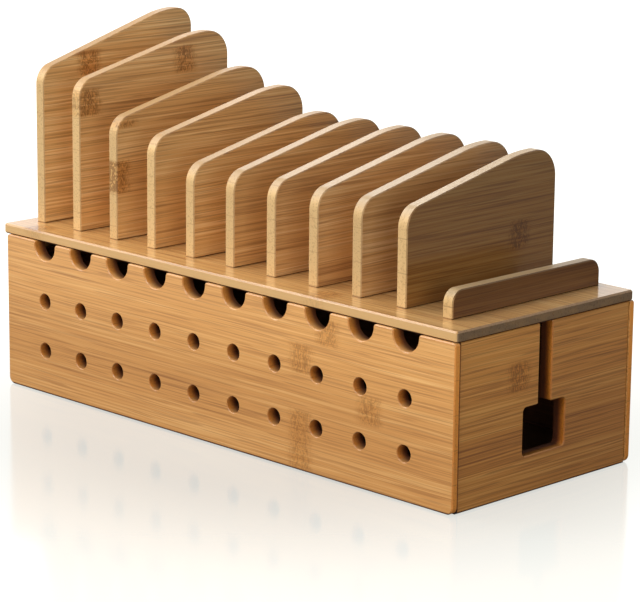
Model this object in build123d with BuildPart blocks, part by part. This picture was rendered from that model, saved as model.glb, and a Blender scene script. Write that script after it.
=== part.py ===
from build123d import *
import os
from math import radians, tan

os.makedirs("parts", exist_ok=True)

# A bamboo charging station: a shallow box for a charger hub, and a loose lid that carries a row
# of upright boards with a slot for one device between each two. All sizes are in millimetres.
# X runs along the box, Y from its front to its back, and Z up from the surface it stands on.

# Box
box_length = 390.0
box_depth = 155.0
box_height = 98.5
wall = 8.5
corner_lip = 3.8
lip_stands_out = 0.9
bottom_corner_radius = 4.5
top_corner_radius = 1.8
edge_ease = 0.6

# Bottom board, loose in grooves in the four walls
floor_thickness = 5.0
floor_height = 5.0
groove_depth = 4.0
groove_play = 0.1
floor_edge_play = 0.5

# Cable notches and vent holes, one notch and two holes to a device
slots = 10
hole_end_margin = 37.5
vent_radius = 5.1
vent_low = 28.0
vent_high = 60.2
vent_rim_ease = 0.4
notch_radius = 9.75
notch_depth = 11.6
notch_shoulder_radius = 1.7

# Keyhole for the supply cord: a square hole for the plug and a slot up to the top edge
keyhole_width = 36.2
keyhole_height = 28.8
keyhole_bottom = 22.0
keyhole_corner_radius = 2.8
cord_slot_width = 10.8
cord_slot_corner_radius = 1.2

# Lid, a little longer than the box and a little less deep. It lies loose on the box, slid to the
# left and to the front by the last two distances.
lid_extra_length = 4.3
lid_lesser_depth = 2.7
lid_thickness = 6.5
lid_corner_radius = 1.5
lid_edge_ease = 1.0
lid_slip_left = 2.1
lid_slip_front = 0.1

# Battens under the lid, which drop in between the walls of the box
batten_width = 12.0
batten_height = 8.0
batten_lead = 1.5
batten_end_play = 2.6
batten_side_play = 1.5

# Upright boards, with the margins of lid that they leave free
divider_thickness = 7.7
divider_from_left = 10.6
divider_from_right = 21.0
divider_from_front = 18.8
divider_from_back = 6.1
divider_ease = 0.6
divider_front_radius = 13.0
stop_height = 16.4
stop_corner_radius = 8.0

# The five outlines of the upright boards, from the left: height of the front corner above the
# lid, slope of the top in degrees, radius of the crown and radius of the rear corner
tallest_board = (99.2, 16.2, 75.0, 13.0)
tall_board = (95.1, 13.1, 100.0, 17.0)
upper_board = (75.9, 12.9, 105.0, 17.0)
middle_board = (68.5, 12.5, 110.0, 17.0)
short_board = (56.1, 12.5, 110.0, 17.3)
short_boards = slots - 4
boards = [tallest_board, tall_board, upper_board, middle_board] + short_boards * [short_board]

# Each upright board stands on the lid, and a tongue at its foot, shorter and thinner than the
# board, is glued into a housing, a stopped groove in the lid
tongue_thickness = 4.0
tongue_set_back = 12.0
housing_depth = 2.5
housing_play = 0.1

overrun = 1.0

# Places and fits that follow from the sizes. The lid is centred along X, and the box lies beside it.
lid_length = box_length + lid_extra_length
lid_depth = box_depth - lid_lesser_depth
hole_pitch = (box_length - 2 * hole_end_margin) / (slots - 1)
divider_pitch = (lid_length - divider_from_left - divider_from_right - divider_thickness) / slots
divider_depth = lid_depth - divider_from_front - divider_from_back
box_centre = lid_slip_left
end_outer = box_length / 2 - lip_stands_out
end_inner = end_outer - wall
shoulder = box_depth / 2 - corner_lip
groove_height = floor_thickness + groove_play
floor_length = 2 * (end_inner + groove_depth - floor_edge_play)
floor_width = box_depth - 2 * (wall - groove_depth + floor_edge_play)
lid_top = box_height + lid_thickness
lid_centre_y = -lid_slip_front
batten_bottom = box_height - batten_height
batten_length = box_depth - 2 * wall - 2 * batten_side_play
batten_offset = end_inner - batten_end_play - batten_width / 2
divider_left = divider_from_left - lid_length / 2
divider_front = lid_centre_y - lid_depth / 2 + divider_from_front
divider_back = divider_front + divider_depth
divider_middle = divider_front + divider_depth / 2
divider_columns_centre = divider_left + (divider_thickness + slots * divider_pitch) / 2
tongue_length = divider_depth - 2 * tongue_set_back
tongue_height = housing_depth - housing_play


def finish(piece, label):
    """Names a finished piece and writes it to its own file."""
    piece.part.label = label
    export_step(piece.part, f"parts/{label}.step")


def long_board(label, side, pierced):
    """A front (side -1) or back (side 1) wall, rabbeted and grooved, pierced by notches and vents."""
    face = Plane((box_centre, side * box_depth / 2, 0), x_dir=(1, 0, 0), z_dir=(0, -1, 0))
    outermost = 0 if side < 0 else -1
    notch_centre = box_height - notch_depth + notch_radius
    with BuildPart() as board:
        with BuildSketch(face) as outline:
            with Locations((0, box_height / 2)):
                Rectangle(box_length, box_height)
            fillet(outline.vertices().group_by(Axis.Y)[0], radius=bottom_corner_radius)
            fillet(outline.vertices().group_by(Axis.Y)[-1], radius=top_corner_radius)
            if pierced:
                with Locations((0, notch_centre)):
                    with GridLocations(hole_pitch, 0, slots, 1):
                        Circle(notch_radius, mode=Mode.SUBTRACT)
                with Locations((0, notch_centre + notch_radius)):
                    with GridLocations(hole_pitch, 0, slots, 1):
                        Rectangle(2 * notch_radius, 2 * notch_radius, mode=Mode.SUBTRACT)
                mouths = outline.vertices().group_by(Axis.Y)[-1].sort_by(Axis.X)
                fillet(mouths[1:-1], radius=notch_shoulder_radius)
        extrude(amount=side * wall)
        chamfer(board.faces().sort_by(Axis.Y)[outermost].edges(), length=edge_ease)
        if pierced:
            with BuildSketch(face):
                with Locations((0, vent_low), (0, vent_high)):
                    with GridLocations(hole_pitch, 0, slots, 1):
                        Circle(vent_radius)
            extrude(amount=side * wall, mode=Mode.SUBTRACT)
            rims = board.faces().sort_by(Axis.Y)[outermost].inner_wires().edges()
            chamfer(rims, length=vent_rim_ease)
        rabbet_length = box_length / 2 - end_inner
        rabbet_depth = wall - corner_lip
        with BuildSketch(Plane.XY):
            with Locations((box_centre, side * (shoulder - (rabbet_depth + overrun) / 2))):
                with GridLocations(2 * end_inner + rabbet_length + overrun, 0, 2, 1):
                    Rectangle(rabbet_length + overrun, rabbet_depth + overrun)
        extrude(amount=box_height, mode=Mode.SUBTRACT)
        groove_bed = box_depth / 2 - wall + groove_depth
        with BuildSketch(Plane.XY.offset(floor_height)):
            with Locations((box_centre, side * (groove_bed - (groove_depth + overrun) / 2))):
                Rectangle(2 * end_inner + overrun, groove_depth + overrun)
        extrude(amount=groove_height, mode=Mode.SUBTRACT)
    finish(board, label)


def end_board(label, side, keyhole):
    """A left (side -1) or right (side 1) wall, which sits in the rabbets of the long boards."""
    face = Plane((box_centre + side * end_outer, 0, 0), x_dir=(0, 1, 0), z_dir=(1, 0, 0))
    outermost = 0 if side < 0 else -1
    with BuildPart() as board:
        with BuildSketch(face) as outline:
            with Locations((0, box_height / 2)):
                Rectangle(2 * shoulder, box_height)
            if keyhole:
                with Locations((0, keyhole_bottom + keyhole_height / 2)):
                    RectangleRounded(
                        keyhole_width, keyhole_height, keyhole_corner_radius, mode=Mode.SUBTRACT
                    )
                with Locations((0, (keyhole_bottom + box_height) / 2)):
                    Rectangle(cord_slot_width, box_height - keyhole_bottom, mode=Mode.SUBTRACT)
                corners = outline.vertices().filter_by_position(Axis.X, -cord_slot_width, cord_slot_width)
                fillet(corners, radius=cord_slot_corner_radius)
        extrude(amount=-side * wall)
        chamfer(board.faces().sort_by(Axis.X)[outermost].edges(), length=edge_ease)
        groove_bed = end_inner + groove_depth
        with BuildSketch(Plane.XY.offset(floor_height)):
            with Locations((box_centre + side * (groove_bed - (groove_depth + overrun) / 2), 0)):
                Rectangle(groove_depth + overrun, 2 * shoulder)
        extrude(amount=groove_height, mode=Mode.SUBTRACT)
    finish(board, label)


def batten(label, side):
    """A batten glued under the left (side -1) or right (side 1) end of the lid."""
    with BuildPart() as strip:
        with BuildSketch(Plane.XY.offset(batten_bottom)):
            with Locations((side * batten_offset, lid_centre_y)):
                Rectangle(batten_width, batten_length)
        extrude(amount=batten_height)
        chamfer(strip.faces().sort_by(Axis.Z)[0].edges(), length=batten_lead)
    finish(strip, label)


def upright(label, column, corners):
    """A board that stands on the lid, with a tongue at its foot, drawn by its rounded upper corners."""
    place = divider_left + column * divider_pitch
    along = [(y, z) for y, z, radius in corners]
    with BuildPart() as board:
        with BuildSketch(Plane.YZ.offset(place)) as outline:
            with BuildLine():
                Polyline((divider_front, lid_top), *along, (divider_back, lid_top), close=True)
            make_face()
            for y, z, radius in corners:
                fillet(outline.vertices().sort_by_distance((y, z, 0))[0], radius=radius)
        extrude(amount=divider_thickness)
        chamfer(board.faces().filter_by(Axis.X).edges(), length=divider_ease)
        with BuildSketch(Plane.XY.offset(lid_top)):
            with Locations((place + divider_thickness / 2, divider_middle)):
                Rectangle(tongue_thickness, tongue_length)
        extrude(amount=-tongue_height)
    finish(board, label)


def divider(label, column, height, slope, crown_radius, rear_radius):
    """An upright board with a rising top that runs through a long crown into a round rear corner."""
    crest = divider_depth - crown_radius * tan(radians(slope / 2)) - rear_radius
    top = lid_top + height + crest * tan(radians(slope))
    corners = [
        (divider_front, lid_top + height, divider_front_radius),
        (divider_front + crest, top, crown_radius),
        (divider_back, top, rear_radius),
    ]
    upright(label, column, corners)


# Box: four walls and the bottom board
long_board("front_panel", -1, pierced=True)
long_board("back_panel", 1, pierced=False)
end_board("left_end_panel", -1, keyhole=False)
end_board("right_end_panel", 1, keyhole=True)

with BuildPart() as bottom_panel:
    with BuildSketch(Plane.XY.offset(floor_height)):
        with Locations((box_centre, 0)):
            Rectangle(floor_length, floor_width)
    extrude(amount=floor_thickness)
finish(bottom_panel, "bottom_panel")

# Lid with a housing for each upright board
with BuildPart() as lid_board:
    with BuildSketch(Plane.XY.offset(box_height)):
        with Locations((0, lid_centre_y)):
            RectangleRounded(lid_length, lid_depth, lid_corner_radius)
    extrude(amount=lid_thickness)
    chamfer(lid_board.faces().filter_by(Axis.Z).edges(), length=lid_edge_ease)
    with BuildSketch(Plane.XY.offset(lid_top)):
        with Locations((divider_columns_centre, divider_middle)):
            with GridLocations(divider_pitch, 0, slots + 1, 1):
                Rectangle(tongue_thickness + 2 * housing_play, tongue_length + 2 * housing_play)
    extrude(amount=-housing_depth, mode=Mode.SUBTRACT)
finish(lid_board, "lid_board")

batten("left_batten", -1)
batten("right_batten", 1)

# Upright boards, from the left, and the low stop at the right end
for number, outline_sizes in enumerate(boards):
    divider(f"divider_{number + 1:02d}", number, *outline_sizes)

stop_top = lid_top + stop_height
stop_corners = [(y, stop_top, stop_corner_radius) for y in (divider_front, divider_back)]
upright("end_stop", slots, stop_corners)
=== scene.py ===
import bpy
import bmesh
from math import radians
from mathutils import Matrix, Vector

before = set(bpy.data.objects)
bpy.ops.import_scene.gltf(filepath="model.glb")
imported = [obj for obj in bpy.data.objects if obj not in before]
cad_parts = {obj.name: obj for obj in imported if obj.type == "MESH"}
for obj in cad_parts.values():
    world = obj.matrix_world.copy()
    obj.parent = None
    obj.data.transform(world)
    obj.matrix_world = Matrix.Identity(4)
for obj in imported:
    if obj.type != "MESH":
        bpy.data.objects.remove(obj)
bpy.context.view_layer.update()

bl_info = {
    "name": "Bamboo charging station",
    "version": (1, 0, 0),
    "blender": (4, 5, 0),
    "location": "View3D > Sidebar > Station",
    "description": "Finishes the boards of a bamboo charging station and sets it on a pale floor",
    "category": "Object",
}

ALONG, ACROSS, UP = 0, 1, 2

BATTENS = ("left_batten", "right_batten")
UPRIGHTS = (*(f"divider_{number:02d}" for number in range(1, 11)), "end_stop")

# Joints of the bamboo culm that show on a board: place along the grain, lower and upper edge of
# the strip that holds it, all in metres on the station.
JOINTS = {
    "front_panel": ((0.0770, 0.0575, 0.0772), (0.0980, 0.0775, 0.0960), (0.0766, 0.0000, 0.0376),
                    (0.1322, 0.0376, 0.0565), (-0.2150, 0.0376, 0.0575)),
    "back_panel": ((-0.1100, 0.0376, 0.0575), (0.0450, 0.0000, 0.0176), (0.1500, 0.0575, 0.0775)),
    "left_end_panel": ((0.0350, 0.0405, 0.0600),),
    "right_end_panel": ((-0.0228, 0.0603, 0.0795),),
    "bottom_panel": ((-0.0600, -0.0200, 0.0000), (0.1200, 0.0200, 0.0400)),
    "lid_board": ((-0.1680, -0.0770, -0.0600), (0.0850, -0.0770, -0.0560), (0.1450, 0.0240, 0.0440),
                  (-0.0300, 0.0240, 0.0440)),
    "divider_01": ((-0.0194, 0.1962, 0.2145),),
    "divider_02": ((-0.0497, 0.1772, 0.1965), (0.0318, 0.1972, 0.2166)),
    "divider_03": ((-0.0560, 0.1336, 0.1560), (-0.0500, 0.1745, 0.1810)),
    "divider_05": ((0.0420, 0.1260, 0.1450),),
    "divider_08": ((0.0100, 0.1060, 0.1250),),
    "divider_10": ((0.0380, 0.1250, 0.1443),),
}

# Shares of red, green and blue that the faces of the uprights give back. Most are alike. Single
# boards are lighter or darker, partly in their own tone and partly as painted light and shade
# for the bounce light that each board gets or misses from its neighbours.
UPRIGHT_SHADE = (1.10, 1.30, 1.66)
UPRIGHT_TONES_AND_PAINTED_LIGHT = {
    "divider_01": (1.20, 1.50, 2.00),
    "divider_02": (1.20, 1.42, 1.82),
    "divider_06": (1.05, 1.24, 1.62),
    "divider_07": (0.98, 1.16, 1.60),
    "divider_08": (0.98, 1.16, 1.60),
    "divider_09": (0.98, 1.16, 1.60),
    "divider_10": (0.48, 0.46, 0.38),
    "end_stop": (0.275, 0.235, 0.165),
}

# Tones of the edges of single uprights, by the share of light that they give back
EDGE_TONES = {"divider_02": 1.10, "divider_04": 1.10, "divider_05": 1.04, "divider_07": 1.04,
              "divider_09": 0.93, "divider_10": 1.07}

# Upper edges of the uprights, painted shade and painted sheen: shares of red, green and blue at
# the first board, and what each further board adds as a painted reflection of the pale
# surroundings, stronger on the boards at the right
TOPSIDE_SHADE_AND_SHEEN_STEPS = ((0.61, 0.007), (0.53, 0.020), (0.44, 0.045))

# Places on the station in metres, counted along and across from the middle of the lid
BOX_MIDDLE = 0.0021       # middle of the box, along
LONG_WALL_FACE = 0.0775   # outer faces of the long walls, across
LONG_WALL_REACH = 0.1935  # along, from the middle of the box, with the sawn ends just beyond
END_WALL_FACE = 0.1941    # outer faces of the end walls, along, from the middle of the box
END_WALL_REACH = 0.0735   # across, with the sawn ends just beyond
CORNER = 0.0737           # seams between end walls and long walls, across
REACH_BLEND = 0.001       # width over which a sawn end comes in
WALL_RIM = (0.0974, 0.0980)  # heights between which the top edge of a wall comes in
WALL_TOP = 0.0985         # top of the walls, where the lid lies
LID_TOP = 0.1050          # top of the lid, where the uprights stand
UPRIGHT_STRIP, UPRIGHT_STRIP_STEP = 0.1010, 0.0031  # where the first strip of each upright begins

# Noise has about one wave to the unit and values about 0.5
NOISE_MIDDLE = 0.5

# Layers of the grain: waves to the metre along the grain and across it, detail and roughness
DRIFT = (3.5, 60.0, 2.0, 0.5)
STREAK = (3.5, 640.0, 4.0, 0.72)
THREAD = (5.0, 560.0, 1.0, 0.5)
FLECK = (16.0, 900.0, 1.0, 0.5)
FIBRE = (11.0, 860.0, 1.0, 0.5)
DRIFT_WEIGHT, STREAK_WEIGHT, FIBRE_WEIGHT = 0.30, 1.02, 0.85

# Waves to the metre along the grain, across it and through the board
WANDER_SCALES = (9.0, 30.0, 30.0)
JOINT_LINE_SCALES = (560.0, 190.0, 190.0)
JOINT_PATCH_SCALES = (260.0, 260.0, 260.0)
FRAY_SCALES = (90.0, 420.0)
PORE_SCALES = (160.0, 850.0, 850.0)
CLOUD_SCALES = (60.0, 90.0, 260.0)

# Shifts that keep boards, strips and layers from looking alike
BOARD_STRIDE, STRIP_SHIFT, THREAD_SHIFT, FLECK_SHIFT = 7.31, 19.0, 3.7, 8.1

# Sizes in metres
WANDER = 0.002                # how far the fibres wander across a board
FRAY = 0.010                  # how far the ends of a joint mark fray along the grain
GLUE_LINE = (0.0001, 0.0004)  # from where to where a glue line fades
JOINT_INSIDE, JOINT_OUTSIDE = 0.0030, 0.0004  # the same for the sides of a joint mark
JOINT_CORE, JOINT_FADE = 0.15, 0.70           # the same for its ends, as shares of its length
GRAIN_RELIEF = 0.00006        # height of the fibres

# Values between which a feature of the grain comes in
STRIP_TONE, STRIP_SPREAD = 0.46, 0.18
DARK_TONES, LIGHT_TONES = (0.14, 0.50), (0.50, 0.90)
VEIN_RANGE = (0.004, 0.035)
FLECK_RANGE = (0.56, 0.64)
JOINT_LINE_RANGE = (0.030, 0.120)
JOINT_PATCH_RANGE = (0.30, 0.42)
EDGE_THREAD_RANGE = (0.46, 0.68)
PORE_RANGE = (0.54, 0.66)
CLOUD_RANGE = (0.38, 0.75)

# How strongly each feature shows, as a share of its own colour
VEIN_SHARE, FLECK_SHARE = 0.38, 0.52
EDGE_VEIN_SHARE, EDGE_THREAD_SHARE = 0.30, 0.50
JOINT_GROUND_SHARE = 0.24
PORE_SHARE, CLOUD_SHARE, GLUE_SHARE = 0.32, 0.22, 0.42

# What streaks, joint marks and sawn ends add to the roughness
STREAK_ROUGHNESS, JOINT_ROUGHNESS, SAWN_ROUGHNESS = 0.16, 0.08, 0.12

# Parts of the relief: fibres and streaks stand up, joint lines lie lower
FIBRE_RELIEF, STREAK_RELIEF, JOINT_RELIEF = 0.6, 0.4, 0.5

# Ranges of the part of a face's normal on one axis, which is 1 where the face looks that way
EDGE_FACING = (0.45, 0.80)
SAWN_FACING = (0.50, 0.80)
TOP_FACING = (0.80, 0.95)
ABOVE_FACING = (0.30, 0.85)
INNER_FACING = (0.5, 0.9)
COAT_FACING = (0.75, 0.98)
SLANT, SLANT_RANGE = 0.7071, (0.05, 0.15)

# Light that is left on the walls, and how it fades
TOP_LIGHT = 0.60              # at least this on a wall's top edge
HOLE_START = 0.0008           # depth where a hole starts to grow dark
HOLE_LIGHT = 0.13             # deep in a hole
INNER_HEIGHTS = (0.020, 0.098)
INNER_LIGHT = (0.14, 0.60)    # on the inner faces, at those two heights
SEAM_CORE = 0.4               # the darkest share of a seam's reach
GREEN_FADE, BLUE_FADE = 1.22, 1.35   # powers by which green and blue fade more than red
JOINT_SHADE = (0.97, 0.92, 0.78)     # shares of red, green and blue that a joint mark gives back
EDGE_COAT = 0.2               # share of the lacquer that lies on the edges

# Colours
WHITE = (1.0, 1.0, 1.0)
JOINT_GROUND = (0.44, 0.175, 0.045)   # ground between the lines of a joint mark
PORE_SHADE = (0.45, 0.36, 0.28)       # what the pores of a sawn end leave of its colour
HOLE_COLOUR = (0.68, 0.28, 0.055)     # sawn sides of the holes
WALL_EDGE_COLOUR = (0.62, 0.33, 0.12)

# The light that the floor adds for the camera and in reflections. It comes in between two distances
# from the middle of the station, and in reflections only in front of a line across the floor.
GLOW_COLOUR = (0.980, 0.986, 0.935)
GLOW_DISTANCES, GLOW_FAR = (0.12, 0.38), 0.96
REFLECTED_DISTANCES, REFLECTED_FAR = (0.15, 0.60), 0.6
FRONT_LINE = (-0.35, -0.10)

# Lamps: name, place, aim, size, the setting that holds the power, and colour
STATION_MIDDLE = (0.0, 0.0, 0.1)
LAMPS = (
    ("key_lamp", (0.2, -2.1, 1.5), STATION_MIDDLE, (1.2, 1.2), "key_power", WHITE),
    ("side_lamp", (-1.6, -0.9, 1.3), STATION_MIDDLE, (1.2, 1.0), "side_power", WHITE),
    ("top_lamp", (-0.35, -0.15, 0.95), STATION_MIDDLE, (0.6, 0.7), "top_power", (1.0, 0.96, 0.90)),
    ("fill_lamp", (1.6, -0.8, 0.3), (0.2, 0.0, 0.05), (0.8, 0.5), "fill_power", (1.0, 0.93, 0.84)),
    ("sheen_lamp", (-0.90, 0.75, 0.88), (0.05, 0.0, 0.17), (0.3, 0.4), "sheen_power", WHITE),
)
FLOOR_DROP = 0.0002  # the floor lies this far below the station, so that their faces don't meet
SENSOR_WIDTH = 36.0  # millimetres


class BambooSettings(bpy.types.PropertyGroup):
    """Colours and sizes of the bamboo, shared by every board."""

    light: bpy.props.FloatVectorProperty(
        name="Light fibres", description="Colour of the palest fibres on a planed face",
        default=(0.80, 0.47, 0.175), size=3, min=0.0, max=1.0, subtype="COLOR")
    middle: bpy.props.FloatVectorProperty(
        name="Ground", description="Colour that most of a planed face has",
        default=(0.66, 0.328, 0.098), size=3, min=0.0, max=1.0, subtype="COLOR")
    dark: bpy.props.FloatVectorProperty(
        name="Dark fibres", description="Colour of the darkest fibres on a planed face",
        default=(0.36, 0.155, 0.045), size=3, min=0.0, max=1.0, subtype="COLOR")
    joint: bpy.props.FloatVectorProperty(
        name="Joint marks", description="Colour of the short wavy lines where the culm had a joint",
        default=(0.185, 0.074, 0.018), size=3, min=0.0, max=1.0, subtype="COLOR")
    edge: bpy.props.FloatVectorProperty(
        name="Edges", description="Ground colour of the edges of the lid and of the upright boards",
        default=(0.655, 0.435, 0.195), size=3, min=0.0, max=1.0, subtype="COLOR")
    strip_width: bpy.props.FloatProperty(
        name="Strip width", description="Width of the bamboo strips that a board is glued up from",
        default=0.020, min=0.005, max=0.05, subtype="DISTANCE", unit="LENGTH")
    joint_length: bpy.props.FloatProperty(
        name="Joint length", description="Length along the grain of a joint mark",
        default=0.018, min=0.002, max=0.03, subtype="DISTANCE", unit="LENGTH")
    joint_depth: bpy.props.FloatProperty(
        name="Joint depth", description="How strongly the lines of a joint mark show",
        default=0.75, min=0.0, max=1.0, subtype="FACTOR")
    roughness: bpy.props.FloatProperty(
        name="Roughness", description="Mean roughness of a planed face",
        default=0.32, min=0.1, max=1.0, subtype="FACTOR")


class StageSettings(bpy.types.PropertyGroup):
    """Floor, light and camera."""

    floor_size: bpy.props.FloatProperty(
        name="Floor size", description="Length of each side of the floor",
        default=14.0, min=1.0, max=50.0, subtype="DISTANCE", unit="LENGTH")
    floor_colour: bpy.props.FloatVectorProperty(
        name="Floor colour", description="Colour of the floor",
        default=(0.085, 0.082, 0.077), size=3, min=0.0, max=1.0, subtype="COLOR")
    floor_glow: bpy.props.FloatProperty(
        name="Floor glow",
        description="Light that the floor near the station adds to its own for the camera",
        default=0.60, min=0.0, max=2.0)
    sky_strength: bpy.props.FloatProperty(
        name="Sky strength", description="Strength of the even light from all round",
        default=0.16, min=0.0, max=2.0)
    key_power: bpy.props.FloatProperty(
        name="Key power", description="Power of the broad lamp in front",
        default=40.0, min=0.0, max=500.0, subtype="POWER", unit="POWER")
    side_power: bpy.props.FloatProperty(
        name="Side power", description="Power of the broad lamp at the left",
        default=16.0, min=0.0, max=500.0, subtype="POWER", unit="POWER")
    fill_power: bpy.props.FloatProperty(
        name="Fill power", description="Power of the low lamp at the right",
        default=5.0, min=0.0, max=500.0, subtype="POWER", unit="POWER")
    sheen_power: bpy.props.FloatProperty(
        name="Sheen power",
        description="Power of the small lamp behind that shines off the sloping edges",
        default=0.9, min=0.0, max=500.0, subtype="POWER", unit="POWER")
    top_power: bpy.props.FloatProperty(
        name="Top power", description="Power of the lamp close above the upright boards",
        default=6.0, min=0.0, max=500.0, subtype="POWER", unit="POWER")
    camera_place: bpy.props.FloatVectorProperty(
        name="Camera place", description="Where the camera stands",
        default=(1.18494, -1.17029, 0.47231), size=3, subtype="TRANSLATION", unit="LENGTH")
    camera_turn: bpy.props.FloatVectorProperty(
        name="Camera turn", description="Turn about the vertical, tilt below level, and roll",
        default=(radians(45.003), radians(13.392), 0.0103), size=3, subtype="EULER", unit="ROTATION")
    camera_lens: bpy.props.FloatProperty(
        name="Lens", description="Focal length in millimetres for a sensor 36 mm wide",
        default=156.39, min=10.0, max=500.0)


# Node helpers: a value is another node's output or a plain number, vector or colour

def feed(tree, socket, value):
    """Joins a node's output to a socket, or writes a plain value there."""
    if isinstance(value, bpy.types.NodeSocket):
        tree.links.new(value, socket)
    else:
        socket.default_value = value


def calc(tree, operation, *values):
    """A Math node."""
    node = tree.nodes.new("ShaderNodeMath")
    node.operation = operation
    for socket, value in zip(node.inputs, values):
        feed(tree, socket, value)
    return node.outputs[0]


def product(tree, first, second):
    """The product of two numbers."""
    return calc(tree, "MULTIPLY", first, second)


def apart(tree, value, middle):
    """How far a number lies from another."""
    return calc(tree, "ABSOLUTE", calc(tree, "SUBTRACT", value, middle))


def length(tree, vector):
    """The length of a vector."""
    node = tree.nodes.new("ShaderNodeVectorMath")
    node.operation = "LENGTH"
    feed(tree, node.inputs[0], vector)
    return node.outputs["Value"]


def split(tree, vector):
    """The three parts of a vector."""
    node = tree.nodes.new("ShaderNodeSeparateXYZ")
    feed(tree, node.inputs[0], vector)
    return tuple(node.outputs)


def combine(tree, *parts):
    """A vector from three parts."""
    node = tree.nodes.new("ShaderNodeCombineXYZ")
    for socket, value in zip(node.inputs, parts):
        feed(tree, socket, value)
    return node.outputs[0]


def noise(tree, position, detail=2.0, roughness=0.5, distortion=0.0):
    """Noise of about one wave to the unit."""
    node = tree.nodes.new("ShaderNodeTexNoise")
    feed(tree, node.inputs["Vector"], position)
    node.inputs["Scale"].default_value = 1.0
    node.inputs["Detail"].default_value = detail
    node.inputs["Roughness"].default_value = roughness
    node.inputs["Distortion"].default_value = distortion
    return node.outputs[0]


def ease(tree, value, low, high, out_low=0.0, out_high=1.0):
    """Maps a range smoothly onto another."""
    node = tree.nodes.new("ShaderNodeMapRange")
    node.interpolation_type = "SMOOTHSTEP"
    for name, number in (("Value", value), ("From Min", low), ("From Max", high),
                         ("To Min", out_low), ("To Max", out_high)):
        feed(tree, node.inputs[name], number)
    return node.outputs[0]


def mix(tree, share, first, second, blend="MIX"):
    """Mixes two colours."""
    node = tree.nodes.new("ShaderNodeMix")
    node.data_type = "RGBA"
    node.blend_type = blend
    feed(tree, node.inputs["Factor"], share)
    for name, value in (("A", first), ("B", second)):
        socket = next(s for s in node.inputs if s.name == name and s.type == "RGBA")
        feed(tree, socket, value if isinstance(value, bpy.types.NodeSocket) else (*value, 1.0))
    return next(s for s in node.outputs if s.type == "RGBA")


def stretched(tree, parts, scales, shift):
    """A place on the board, stretched by a scale along each direction and shifted."""
    moved = [calc(tree, "MULTIPLY_ADD", part, scale, shift) for part, scale in zip(parts, scales)]
    return combine(tree, *moved)


def grain_noise(tree, parts, shift, along, across, detail, roughness):
    """Noise drawn out along the grain, by its waves to the metre along and across."""
    return noise(tree, stretched(tree, parts, (along, across, across), shift), detail, roughness)


def group_sockets(tree):
    """Gives the grain's node group its inputs and outputs, and returns both."""
    face = tree.interface
    face.new_socket("Place", in_out="INPUT", socket_type="NodeSocketVector")
    for name in ("Seed", "Joint", "Edge", "End", "Contrast"):
        face.new_socket(name, in_out="INPUT", socket_type="NodeSocketFloat")
    for name in ("Edge colour", "End colour"):
        face.new_socket(name, in_out="INPUT", socket_type="NodeSocketColor")
    face.new_socket("Colour", in_out="OUTPUT", socket_type="NodeSocketColor")
    for name in ("Roughness", "Height"):
        face.new_socket(name, in_out="OUTPUT", socket_type="NodeSocketFloat")
    return tree.nodes.new("NodeGroupInput").outputs, tree.nodes.new("NodeGroupOutput").inputs


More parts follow.
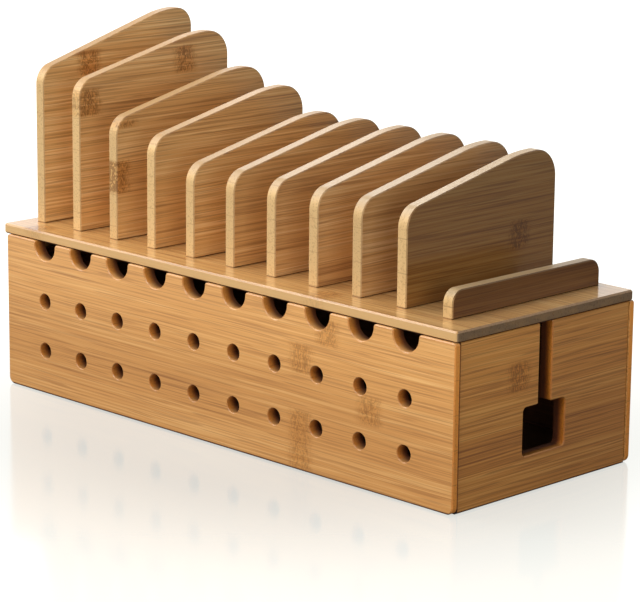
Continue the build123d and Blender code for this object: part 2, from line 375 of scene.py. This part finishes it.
def bamboo_group(bamboo):
    """The grain of glued-up bamboo, from a place given along, across and through a board."""
    tree = bpy.data.node_groups.new("Bamboo grain", "ShaderNodeTree")
    given, result = group_sockets(tree)
    seed, joint, contrast = given["Seed"], given["Joint"], given["Contrast"]
    light, middle, dark = tuple(bamboo.light), tuple(bamboo.middle), tuple(bamboo.dark)
    board = along, across, through = split(tree, given["Place"])

    # Strips, each with a tone and a shift of its own, and the fine glue line between two
    ratio = calc(tree, "DIVIDE", across, bamboo.strip_width)
    strip = calc(tree, "FLOOR", ratio)
    number = tree.nodes.new("ShaderNodeTexWhiteNoise")
    number.noise_dimensions = "1D"
    feed(tree, number.inputs["W"], calc(tree, "MULTIPLY_ADD", seed, BOARD_STRIDE, strip))
    chance = number.outputs["Value"]
    shift = calc(tree, "MULTIPLY_ADD", chance, STRIP_SHIFT, seed)
    beside = product(tree, calc(tree, "PINGPONG", ratio, 0.5), bamboo.strip_width)
    glue = ease(tree, beside, *GLUE_LINE, 1.0, 0.0)

    # Fibres, which wander a little: slow drift, streaks, thin dark lines and short dark flecks
    wander = noise(tree, stretched(tree, board, WANDER_SCALES, seed), detail=1.0)
    parts = (along, calc(tree, "MULTIPLY_ADD", wander, WANDER, across), through)
    drift = grain_noise(tree, parts, shift, *DRIFT)
    streak = grain_noise(tree, parts, shift, *STREAK)
    thread = grain_noise(tree, parts, calc(tree, "ADD", shift, THREAD_SHIFT), *THREAD)
    fleck = grain_noise(tree, parts, calc(tree, "ADD", shift, FLECK_SHIFT), *FLECK)
    fibre = grain_noise(tree, parts, shift, *FIBRE)
    vein = ease(tree, apart(tree, thread, NOISE_MIDDLE), *VEIN_RANGE, 1.0, 0.0)

    tone = calc(tree, "MULTIPLY_ADD", chance, STRIP_SPREAD, STRIP_TONE)
    for layer, weight in ((drift, DRIFT_WEIGHT), (streak, STREAK_WEIGHT), (fibre, FIBRE_WEIGHT)):
        tone = calc(tree, "MULTIPLY_ADD", calc(tree, "SUBTRACT", layer, NOISE_MIDDLE), weight, tone)
    tone = calc(tree, "SUBTRACT", tone, NOISE_MIDDLE)
    tone = calc(tree, "MULTIPLY_ADD", tone, contrast, NOISE_MIDDLE)
    lower = mix(tree, ease(tree, tone, *DARK_TONES), dark, middle)
    planed = mix(tree, ease(tree, tone, *LIGHT_TONES), lower, light)
    flecks = ease(tree, fleck, *FLECK_RANGE, 0.0, FLECK_SHARE)
    lines = calc(tree, "MAXIMUM", product(tree, vein, VEIN_SHARE), flecks)
    planed = mix(tree, product(tree, lines, contrast), planed, dark)

    # Joints: a crowd of short wavy lines that run across the grain, on darker ground
    crowd = noise(tree, stretched(tree, board, JOINT_LINE_SCALES, seed), detail=1.0, distortion=1.2)
    worm = ease(tree, apart(tree, crowd, NOISE_MIDDLE), *JOINT_LINE_RANGE, 1.0, 0.0)
    patch = noise(tree, stretched(tree, board, JOINT_PATCH_SCALES, seed), detail=1.0)
    worm = product(tree, worm, ease(tree, patch, *JOINT_PATCH_RANGE))
    scratch = product(tree, worm, joint)
    line_share, line_colour = product(tree, scratch, bamboo.joint_depth), tuple(bamboo.joint)
    planed = mix(tree, product(tree, joint, JOINT_GROUND_SHARE), planed, JOINT_GROUND)
    planed = mix(tree, line_share, planed, line_colour)

    # Edges of a board: the sides of its fibres, with a few dark threads
    threads = ease(tree, streak, *EDGE_THREAD_RANGE, 0.0, EDGE_THREAD_SHARE)
    threads = calc(tree, "MAXIMUM", product(tree, vein, EDGE_VEIN_SHARE), threads)
    edge = mix(tree, threads, given["Edge colour"], middle)
    edge = mix(tree, line_share, edge, line_colour)

    # Sawn ends: fibre bundles cut across show as fine dark dots, in clouds, between the glue lines
    pores = noise(tree, stretched(tree, board, PORE_SCALES, seed), detail=1.0)
    dot = ease(tree, pores, *PORE_RANGE)
    cloud = noise(tree, stretched(tree, board, CLOUD_SCALES, seed))
    speckle = product(tree, product(tree, dot, PORE_SHARE), contrast)
    end = mix(tree, speckle, given["End colour"], PORE_SHADE, "MULTIPLY")
    end = mix(tree, ease(tree, cloud, *CLOUD_RANGE, 0.0, CLOUD_SHARE), end, middle)
    end = mix(tree, line_share, end, line_colour)
    end = mix(tree, product(tree, glue, GLUE_SHARE), end, dark)
    colour = mix(tree, given["Edge"], planed, edge)
    feed(tree, result["Colour"], mix(tree, given["End"], colour, end))

    # Roughness and relief, with the pores of a sawn end as pits
    rough = bamboo.roughness - STREAK_ROUGHNESS * NOISE_MIDDLE
    for layer, added in ((streak, STREAK_ROUGHNESS), (joint, JOINT_ROUGHNESS),
                         (given["End"], SAWN_ROUGHNESS)):
        rough = calc(tree, "MULTIPLY_ADD", layer, added, rough)
    feed(tree, result["Roughness"], rough)
    relief = calc(tree, "MULTIPLY_ADD", fibre, FIBRE_RELIEF, product(tree, streak, STREAK_RELIEF))
    relief = calc(tree, "SUBTRACT", relief, product(tree, scratch, JOINT_RELIEF))
    feed(tree, result["Height"], calc(tree, "SUBTRACT", relief, product(tree, dot, given["End"])))
    return tree


def joint_share(tree, along, across, marks, size):
    """How far a place lies inside one of the joint marks, from 0 to 1."""
    waves = [product(tree, part, scale) for part, scale in zip((along, across), FRAY_SCALES)]
    frayed = noise(tree, combine(tree, *waves, 0.0))
    along = calc(tree, "MULTIPLY_ADD", calc(tree, "SUBTRACT", frayed, NOISE_MIDDLE), FRAY, along)
    share = 0.0
    for place, low, high in marks:
        side = apart(tree, along, place)
        near = ease(tree, side, size * JOINT_CORE, size * JOINT_FADE, 1.0, 0.0)
        height, half = apart(tree, across, (low + high) / 2), (high - low) / 2
        within = ease(tree, height, half - JOINT_INSIDE, half + JOINT_OUTSIDE, 1.0, 0.0)
        share = calc(tree, "MAXIMUM", share, product(tree, near, within))
    return share


def seam_shade(tree, place, seams):
    """How much light is left in the narrow gaps where boards meet, from 1 in the open.

    A seam is given by the axis it is counted on, its place there, how far it reaches to each side,
    and the share of light left in it. The light is painted shade: a dark line in a narrow gap, and
    with a long reach a broad darkening, such as towards the floor.
    """
    light = 1.0
    for axis, where, reach, left in seams:
        gap = apart(tree, place[axis], where)
        light = product(tree, light, ease(tree, gap, reach * SEAM_CORE, reach, left, 1.0))
    return light


def hole_shade(tree, place, facing, depth_axis, outer, open_axis, centre, reach, deep):
    """How much light is left in the holes of a wall and on its inner face, and where its rim lies.

    The wall's outer face lies at outer on the depth axis, and its holes grow dark down to deep below
    it. The rim is the wall's top edge and whatever lies beyond reach from the centre on the open axis.
    """
    inward = 1.0 if outer < 0.0 else -1.0
    depth = product(tree, calc(tree, "SUBTRACT", place[depth_axis], outer), inward)
    light = ease(tree, depth, HOLE_START, deep, 1.0, HOLE_LIGHT)
    inner = ease(tree, product(tree, facing[depth_axis], inward), *INNER_FACING)
    inner = product(tree, inner, ease(tree, place[UP], *INNER_HEIGHTS, *INNER_LIGHT))
    light = calc(tree, "MAXIMUM", light, inner)
    ends = ease(tree, apart(tree, place[open_axis], centre), reach - REACH_BLEND, reach)
    rim = calc(tree, "MAXIMUM", ends, ease(tree, place[UP], *WALL_RIM))
    return calc(tree, "MAXIMUM", light, rim), rim


def bamboo_material(bamboo, name, directions, start, seed, shade, edge_colour, end_colour, marks=(),
                    seams=(), hole=None, lacquer=0.25, joint_strength=1.0, rim=1.0, topside_shade_and_sheen=WHITE,
                    contrast=1.0, shine=0.5):
    """Lacquered bamboo for one board.

    directions: the axes along the grain, across it on the face, and through the board
    start: where the board's first strip begins, across the grain
    shade: shares of red, green and blue that the board gives back, on some boards with painted shade
    topside_shade_and_sheen: the same for its upper faces, painted shade and painted sheen
    marks, seams, hole: what joint_share, seam_shade and hole_shade take
    lacquer, shine: strength of the clear coat and of the wood's own reflection
    rim: share of light left on the slanting edges, painted shade that dims their highlights
    contrast: strength of the grain
    """
    material = bpy.data.materials.new(name)
    material.use_nodes = True
    tree = material.node_tree
    shader = tree.nodes["Principled BSDF"]
    here = tree.nodes.new("ShaderNodeTexCoord")
    place = split(tree, here.outputs["Object"])
    facing = split(tree, here.outputs["Normal"])
    along, across, through = (place[axis] for axis in directions)

    grain = tree.nodes.new("ShaderNodeGroup")
    grain.node_tree = bpy.data.node_groups.get("Bamboo grain") or bamboo_group(bamboo)
    across_board = calc(tree, "SUBTRACT", across, start)
    feed(tree, grain.inputs["Place"], combine(tree, along, across_board, through))
    feed(tree, grain.inputs["Seed"], seed)
    feed(tree, grain.inputs["Contrast"], contrast)
    joint = joint_share(tree, along, across, marks, bamboo.joint_length)
    feed(tree, grain.inputs["Joint"], product(tree, joint, joint_strength))
    flat = calc(tree, "ABSOLUTE", facing[directions[2]])
    sawn = calc(tree, "ABSOLUTE", facing[directions[0]])
    feed(tree, grain.inputs["Edge"], ease(tree, flat, *EDGE_FACING, 1.0, 0.0))
    feed(tree, grain.inputs["End"], ease(tree, sawn, *SAWN_FACING))
    feed(tree, grain.inputs["Edge colour"], (*edge_colour, 1.0))
    feed(tree, grain.inputs["End colour"], (*end_colour, 1.0))

    # Painted shade: the share of light that reaches the board, less in seams and holes and on its
    # slanting edges
    light = seam_shade(tree, place, seams)
    if hole:
        light = calc(tree, "MAXIMUM", light, ease(tree, facing[UP], *TOP_FACING, 0.0, TOP_LIGHT))
        inside, wall_rim = hole_shade(tree, place, facing, **hole)
        light = product(tree, light, inside)
        feed(tree, grain.inputs["End colour"], mix(tree, wall_rim, HOLE_COLOUR, end_colour))
    light = product(tree, light, ease(tree, apart(tree, flat, SLANT), *SLANT_RANGE, rim, 1.0))

    # Joint marks are browner than the board. Upper faces get painted shade and painted sheen, and
    # where little light is left, it is warmer
    browner = tuple(min(part * share, shade[0]) for part, share in zip(shade, JOINT_SHADE))
    faded = [calc(tree, "POWER", light, fade) for fade in (GREEN_FADE, BLUE_FADE)]
    warmer = combine(tree, light, *faded)
    above = ease(tree, facing[UP], *ABOVE_FACING)
    colour = grain.outputs["Colour"]
    for filter_colour in (mix(tree, joint, shade, browner), mix(tree, above, WHITE, topside_shade_and_sheen), warmer):
        colour = mix(tree, 1.0, colour, filter_colour, "MULTIPLY")
    feed(tree, shader.inputs["Base Color"], colour)

    shadow = calc(tree, "SUBTRACT", 1.0, light)
    roughness = calc(tree, "MAXIMUM", grain.outputs["Roughness"], shadow)
    feed(tree, shader.inputs["Roughness"], roughness)
    bump = tree.nodes.new("ShaderNodeBump")
    bump.inputs["Strength"].default_value = 0.30
    bump.inputs["Distance"].default_value = GRAIN_RELIEF
    feed(tree, bump.inputs["Height"], grain.outputs["Height"])
    feed(tree, shader.inputs["Normal"], bump.outputs[0])
    shader.inputs["IOR"].default_value = 1.45
    shader.inputs["Specular IOR Level"].default_value = shine
    coat = ease(tree, flat, *COAT_FACING, lacquer * EDGE_COAT, lacquer)
    feed(tree, shader.inputs["Coat Weight"], product(tree, light, coat))
    shader.inputs["Coat Roughness"].default_value = 0.12
    return material


def dress(node, material):
    """Gives a board its material."""
    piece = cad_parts[node]
    piece.data.materials.clear()
    piece.data.materials.append(material)


class STATION_OT_walls(bpy.types.Operator):
    """Finish the four walls of the box, whose grain lies level"""

    bl_idname = "station.walls"
    bl_label = "Box walls"

    def execute(self, context):
        bamboo = context.scene.station_bamboo
        # Painted shade: dark lines at the foot and at the corners, the walls darker towards the floor,
        # and the end walls darker towards the back
        foot_shade = [(UP, 0.0, 0.0015, 0.12), (UP, 0.0, 0.0850, 0.82)]
        corner_shade = [(ACROSS, -CORNER, 0.0023, 0.03), (ACROSS, CORNER, 0.0008, 0.10),
                        (ACROSS, CORNER, 0.1100, 0.88)]
        long_wall = dict(directions=(ALONG, UP, ACROSS), start=0.0176, shade=(1.17, 1.16, 1.16),
                         end_colour=(1.0, 0.40, 0.07), seams=foot_shade, joint_strength=0.6,
                         contrast=0.9)
        end_wall = dict(directions=(ACROSS, UP, ALONG), start=0.0003, shade=(1.27, 1.12, 0.78),
                        end_colour=(0.50, 0.22, 0.07), seams=foot_shade + corner_shade,
                        joint_strength=0.8, contrast=1.15)
        long_hole = dict(depth_axis=ACROSS, open_axis=ALONG, centre=BOX_MIDDLE,
                         reach=LONG_WALL_REACH, deep=0.0078)
        end_hole = dict(depth_axis=ALONG, open_axis=ACROSS, centre=0.0,
                        reach=END_WALL_REACH, deep=0.0060)
        walls = (
            ("front_panel", long_wall, long_hole, -LONG_WALL_FACE),
            ("back_panel", long_wall, long_hole, LONG_WALL_FACE),
            ("left_end_panel", end_wall, end_hole, BOX_MIDDLE - END_WALL_FACE),
            ("right_end_panel", end_wall, end_hole, BOX_MIDDLE + END_WALL_FACE),
        )
        for number, (node, looks, hole, outer) in enumerate(walls):
            material = bamboo_material(bamboo, "bamboo_" + node, seed=3.7 + number,
                                       edge_colour=WALL_EDGE_COLOUR, marks=JOINTS[node],
                                       hole=dict(hole, outer=outer), rim=0.8, **looks)
            dress(node, material)
        return {"FINISHED"}


class STATION_OT_bottom(bpy.types.Operator):
    """Finish the bottom board, which lies in the grooves of the walls"""

    bl_idname = "station.bottom"
    bl_label = "Bottom board"

    def execute(self, context):
        bamboo = context.scene.station_bamboo
        edge = tuple(bamboo.edge)
        # The bottom board is painted nearly black: painted shade for the inside of the closed box
        material = bamboo_material(bamboo, "bamboo_bottom", directions=(ALONG, ACROSS, UP), start=0.0,
                                   seed=11.3, shade=(0.16, 0.16, 0.16), edge_colour=edge,
                                   end_colour=edge, marks=JOINTS["bottom_panel"])
        dress("bottom_panel", material)
        return {"FINISHED"}


class STATION_OT_lid(bpy.types.Operator):
    """Finish the lid board"""

    bl_idname = "station.lid"
    bl_label = "Lid board"

    def execute(self, context):
        bamboo = context.scene.station_bamboo
        # The seam at the top of the walls paints a shadow along the lid's lower edge
        material = bamboo_material(bamboo, "bamboo_lid", directions=(ALONG, ACROSS, UP), start=0.004,
                                   seed=21.9, shade=(0.95, 1.07, 1.25),
                                   edge_colour=(0.73, 0.395, 0.135), end_colour=(0.26, 0.145, 0.062),
                                   marks=JOINTS["lid_board"], seams=[(UP, WALL_TOP, 0.0009, 0.03)],
                                   lacquer=0.9, rim=0.8, contrast=1.3)
        dress("lid_board", material)
        return {"FINISHED"}


class STATION_OT_battens(bpy.types.Operator):
    """Finish the two battens under the lid"""

    bl_idname = "station.battens"
    bl_label = "Battens"

    def execute(self, context):
        bamboo = context.scene.station_bamboo
        # The battens are painted darker: painted shade under the lid
        material = bamboo_material(bamboo, "bamboo_battens", directions=(ACROSS, ALONG, UP), start=0.0,
                                   seed=31.1, shade=(0.60, 0.60, 0.60),
                                   edge_colour=tuple(bamboo.middle), end_colour=tuple(bamboo.edge))
        for node in BATTENS:
            dress(node, material)
        return {"FINISHED"}


class STATION_OT_uprights(bpy.types.Operator):
    """Finish the ten boards between the devices and the low stop, whose grain runs front to back"""

    bl_idname = "station.uprights"
    bl_label = "Upright boards"

    def execute(self, context):
        bamboo = context.scene.station_bamboo
        for number, node in enumerate(UPRIGHTS):
            marks = JOINTS.get(node, ())
            start = marks[0][1] if marks else UPRIGHT_STRIP + UPRIGHT_STRIP_STEP * number
            shade = UPRIGHT_TONES_AND_PAINTED_LIGHT.get(node, UPRIGHT_SHADE)
            tone = EDGE_TONES.get(node, 1.0)
            edge = tuple(part * tone / under for part, under in zip(bamboo.edge, shade))
            topside_shade_and_sheen = tuple(first + step * number for first, step in TOPSIDE_SHADE_AND_SHEEN_STEPS)
            # The seam at the top of the lid paints shade at the foot of each upright
            material = bamboo_material(bamboo, "bamboo_" + node, directions=(ACROSS, UP, ALONG),
                                       start=start,
                                       seed=41.7 + 1.3 * number, shade=shade, edge_colour=edge,
                                       end_colour=edge, marks=marks,
                                       seams=[(UP, LID_TOP, 0.0008, 0.40)], lacquer=0.12, rim=0.75,
                                       topside_shade_and_sheen=topside_shade_and_sheen,
                                       contrast=1.12, shine=0.25 if node == "end_stop" else 0.5)
            dress(node, material)
        return {"FINISHED"}


def floor_material(stage):
    """A pale glossy floor, white to the camera away from the station, that keeps its shadow."""
    material = bpy.data.materials.new("pale_floor")
    material.use_nodes = True
    tree = material.node_tree
    shader = tree.nodes["Principled BSDF"]
    feed(tree, shader.inputs["Base Color"], (*stage.floor_colour, 1.0))
    shader.inputs["Roughness"].default_value = 0.12
    glow = tree.nodes.new("ShaderNodeEmission")
    feed(tree, glow.inputs["Color"], (*GLOW_COLOUR, 1.0))
    seen = tree.nodes.new("ShaderNodeLightPath").outputs
    place = tree.nodes.new("ShaderNodeTexCoord").outputs["Object"]
    distance = length(tree, place)
    direct = ease(tree, distance, *GLOW_DISTANCES, stage.floor_glow, GLOW_FAR)
    in_front = ease(tree, split(tree, place)[ACROSS], *FRONT_LINE, REFLECTED_FAR, 0.0)
    reflected = ease(tree, distance, *REFLECTED_DISTANCES, 0.0, in_front)
    direct = product(tree, seen["Is Camera Ray"], direct)
    reflected = product(tree, seen["Is Glossy Ray"], reflected)
    feed(tree, glow.inputs["Strength"], calc(tree, "MAXIMUM", direct, reflected))
    both = tree.nodes.new("ShaderNodeAddShader")
    feed(tree, both.inputs[0], shader.outputs[0])
    feed(tree, both.inputs[1], glow.outputs[0])
    feed(tree, tree.nodes["Material Output"].inputs["Surface"], both.outputs[0])
    return material


def surroundings(stage):
    """Surroundings that are white to look at and in reflections, and light the station faintly."""
    world = bpy.data.worlds.new("pale_surroundings")
    world.use_nodes = True
    tree = world.node_tree
    sky = tree.nodes["Background"]
    sky.inputs["Color"].default_value = (*WHITE, 1.0)
    seen = tree.nodes.new("ShaderNodeLightPath").outputs
    direct = calc(tree, "MAXIMUM", seen["Is Camera Ray"], seen["Is Glossy Ray"])
    feed(tree, sky.inputs["Strength"], ease(tree, direct, 0.0, 1.0, stage.sky_strength, 1.0))
    return world


def floor_plate(stage):
    """The floor, a square plate just below the station."""
    shape = bmesh.new()
    bmesh.ops.create_grid(shape, x_segments=1, y_segments=1, size=stage.floor_size / 2)
    bmesh.ops.translate(shape, verts=shape.verts, vec=(0, 0, -FLOOR_DROP))
    mesh = bpy.data.meshes.new("floor")
    shape.to_mesh(mesh)
    shape.free()
    mesh.materials.append(floor_material(stage))
    return bpy.data.objects.new("floor", mesh)


def lamp(name, place, aim, size, power, colour):
    """A broad lamp at a place, aimed at a point."""
    light = bpy.data.lights.new(name, "AREA")
    light.shape = "RECTANGLE"
    light.size, light.size_y = size
    light.energy = power
    light.color = colour
    holder = bpy.data.objects.new(name, light)
    holder.location = place
    holder.rotation_euler = (Vector(aim) - Vector(place)).to_track_quat("-Z", "Y").to_euler()
    return holder


def photo_camera(stage):
    """The camera, level but for its tilt and roll, turned to face the station's front right corner."""
    camera_data = bpy.data.cameras.new("camera")
    camera_data.lens = stage.camera_lens
    camera_data.sensor_width = SENSOR_WIDTH
    camera = bpy.data.objects.new("camera", camera_data)
    turn, tilt, roll = stage.camera_turn
    camera.matrix_world = (Matrix.Translation(stage.camera_place) @ Matrix.Rotation(turn, 4, "Z")
                           @ Matrix.Rotation(radians(90) - tilt, 4, "X")
                           @ Matrix.Rotation(roll, 4, "Z"))
    return camera


class STATION_OT_stage(bpy.types.Operator):
    """Lay the floor, light the station and set up the camera"""

    bl_idname = "station.stage"
    bl_label = "Stage"

    def execute(self, context):
        scene = context.scene
        stage = scene.station_stage
        floor = floor_plate(stage)
        scene.collection.objects.link(floor)
        for name, place, aim, size, power, colour in LAMPS:
            scene.collection.objects.link(lamp(name, place, aim, size, getattr(stage, power), colour))
        scene.world = surroundings(stage)
        scene.view_settings.view_transform = "Standard"
        scene.camera = photo_camera(stage)
        scene.collection.objects.link(scene.camera)
        return {"FINISHED"}


OPERATORS = (STATION_OT_walls, STATION_OT_bottom, STATION_OT_lid, STATION_OT_battens,
             STATION_OT_uprights, STATION_OT_stage)


class STATION_PT_panel(bpy.types.Panel):
    """Lists the pieces of the charging station"""

    bl_idname = "STATION_PT_panel"
    bl_label = "Charging station"
    bl_space_type = "VIEW_3D"
    bl_region_type = "UI"
    bl_category = "Station"

    def draw(self, context):
        for settings in (context.scene.station_bamboo, context.scene.station_stage):
            box = self.layout.box()
            for name in settings.__annotations__:
                box.prop(settings, name)
        for operator in OPERATORS:
            self.layout.operator(operator.bl_idname)


CLASSES = (BambooSettings, StageSettings, *OPERATORS, STATION_PT_panel)


def register():
    for cls in CLASSES:
        bpy.utils.register_class(cls)
    bpy.types.Scene.station_bamboo = bpy.props.PointerProperty(type=BambooSettings)
    bpy.types.Scene.station_stage = bpy.props.PointerProperty(type=StageSettings)


def unregister():
    del bpy.types.Scene.station_stage
    del bpy.types.Scene.station_bamboo
    for cls in reversed(CLASSES):
        bpy.utils.unregister_class(cls)


def main():
    register()
    bpy.ops.station.walls()
    bpy.ops.station.bottom()
    bpy.ops.station.lid()
    bpy.ops.station.battens()
    bpy.ops.station.uprights()
    bpy.ops.station.stage()


if __name__ == "__main__":
    main()
